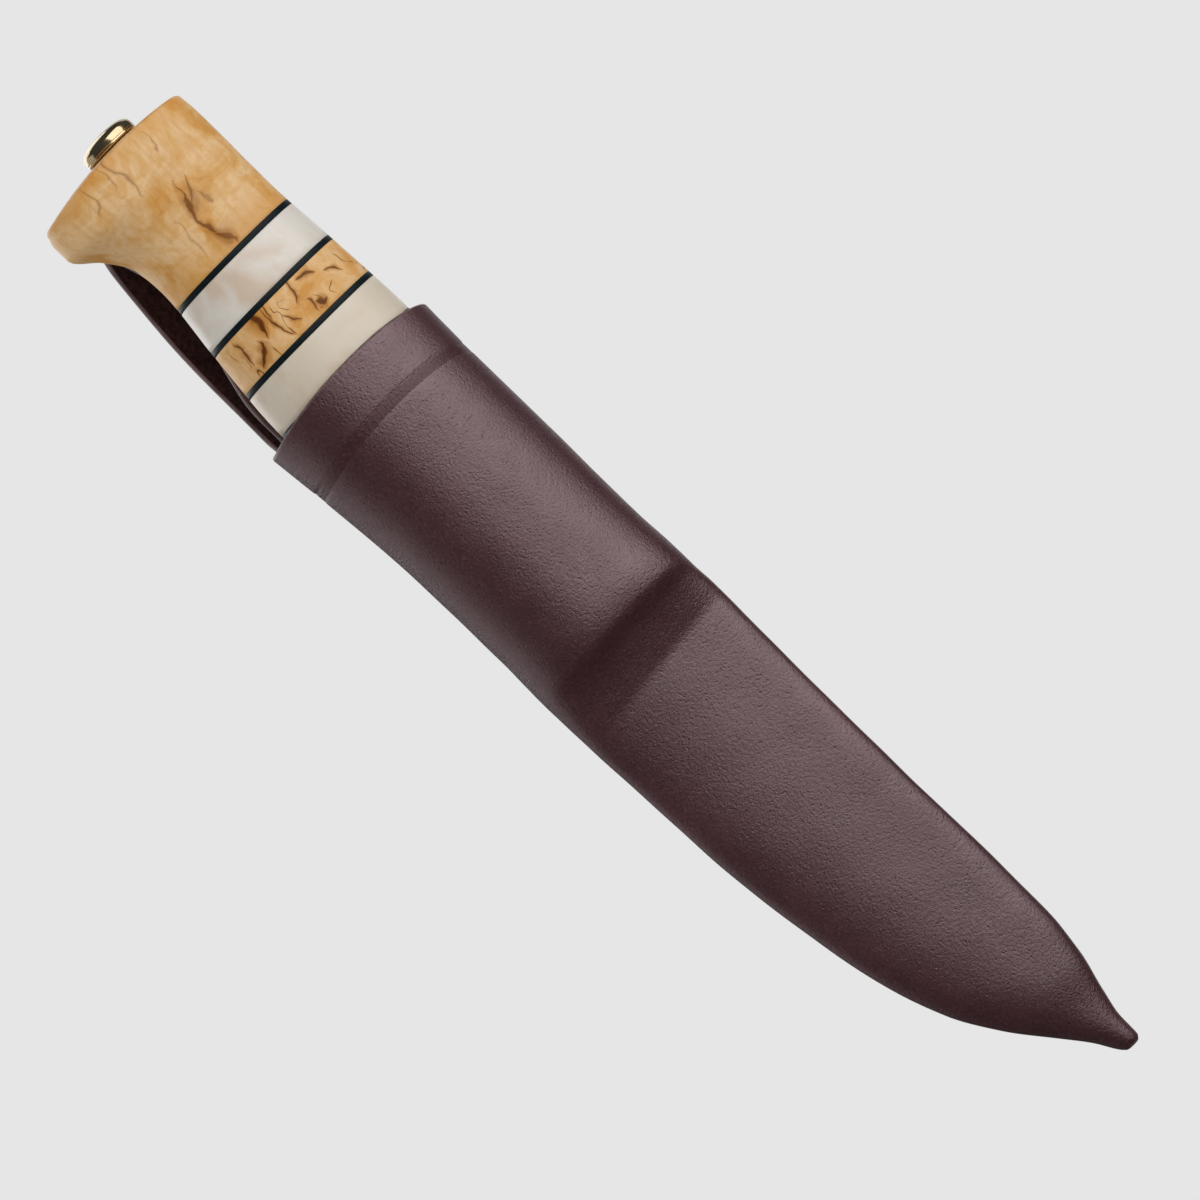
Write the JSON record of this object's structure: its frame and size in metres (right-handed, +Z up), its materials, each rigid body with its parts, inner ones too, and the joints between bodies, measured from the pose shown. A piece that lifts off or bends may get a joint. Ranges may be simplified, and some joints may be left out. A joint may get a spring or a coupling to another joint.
{
  "type": "whittling knife with sheath",
  "caption": "Stacked birch and antler whittling knife with a domed tang nut, in a wet-formed leather pouch sheath with a folded belt loop.",
  "frame": {"origin": "middle of the slot in the belt loop, where the belt passes", "axes": "+Z up towards the pommel as worn, +X the blade's spine side, +Y the back that faces the wearer, -Y the smooth front"},
  "size_m": [0.0379, 0.0394, 0.2332],
  "materials": {
    "birch": "oiled curly birch, soft satin",
    "antler": null,
    "fibre": "black vulcanised fibre",
    "steel": "fine lengthwise grinding marks",
    "brass": "polished",
    "leather": "dark burgundy-brown vegetable-tanned leather, fine grain, satin",
    "liner": "moulded black plastic",
    "thread": "waxed dark brown thread"
  },
  "bodies": {
    "sheath": {"sheath_shell": "leather", "blade_liner": "liner", "seam_thread": "thread", "belt_loop": "leather", "rivet_post_edge_side": "brass", "rivet_post_spine_side": "brass", "rivet_cap_edge_side": "brass", "rivet_cap_spine_side": "brass"},
    "knife": {"blade": "steel", "tang_nut": "brass", "pommel": "birch", "fibre_spacer_1": "fibre", "antler_ring_rear": "antler", "fibre_spacer_2": "fibre", "birch_ring": "birch", "fibre_spacer_3": "fibre", "antler_ring_front": "antler", "fibre_spacer_4": "fibre", "front_grip": "birch", "fibre_spacer_5": "fibre", "bolster": "brass"}
  },
  "joints": [
    {"name": "knife_draw", "type": "slide", "parent": "sheath", "child": "knife", "axis": [0, 0, 1], "range_m": [0, 0.165]}
  ]
}
